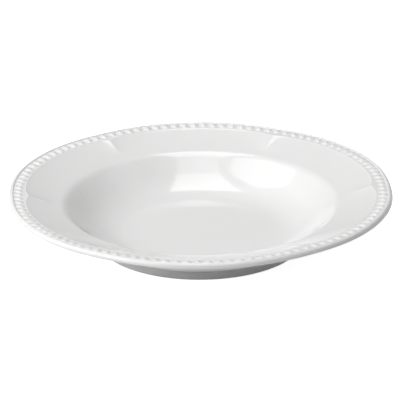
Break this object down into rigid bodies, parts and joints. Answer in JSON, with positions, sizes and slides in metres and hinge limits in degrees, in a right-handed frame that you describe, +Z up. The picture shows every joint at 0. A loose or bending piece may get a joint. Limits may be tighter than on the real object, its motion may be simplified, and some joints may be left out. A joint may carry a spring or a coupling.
{
  "type": "pasta bowl",
  "caption": "Round white glazed pasta bowl with a wide, shallow-lobed rim, a beaded border inside its rolled edge, a deep coved well with a flat floor, and a raised foot ring.",
  "frame": {"origin": "on the table under the middle of the bowl", "axes": "+Z up through the middle of the bowl, +X through one of the creases between the rim's lobes"},
  "size_m": [0.2822, 0.285, 0.0408],
  "materials": {
    "glaze": "glossy clear glaze over a neutral white body",
    "bare_clay": "unglazed fired clay, wiped clean on the resting face"
  },
  "bodies": {
    "root": {"well": "glaze", "rim": "glaze", "bead_border": "glaze", "foot_ring": "bare_clay"}
  },
  "joints": []
}
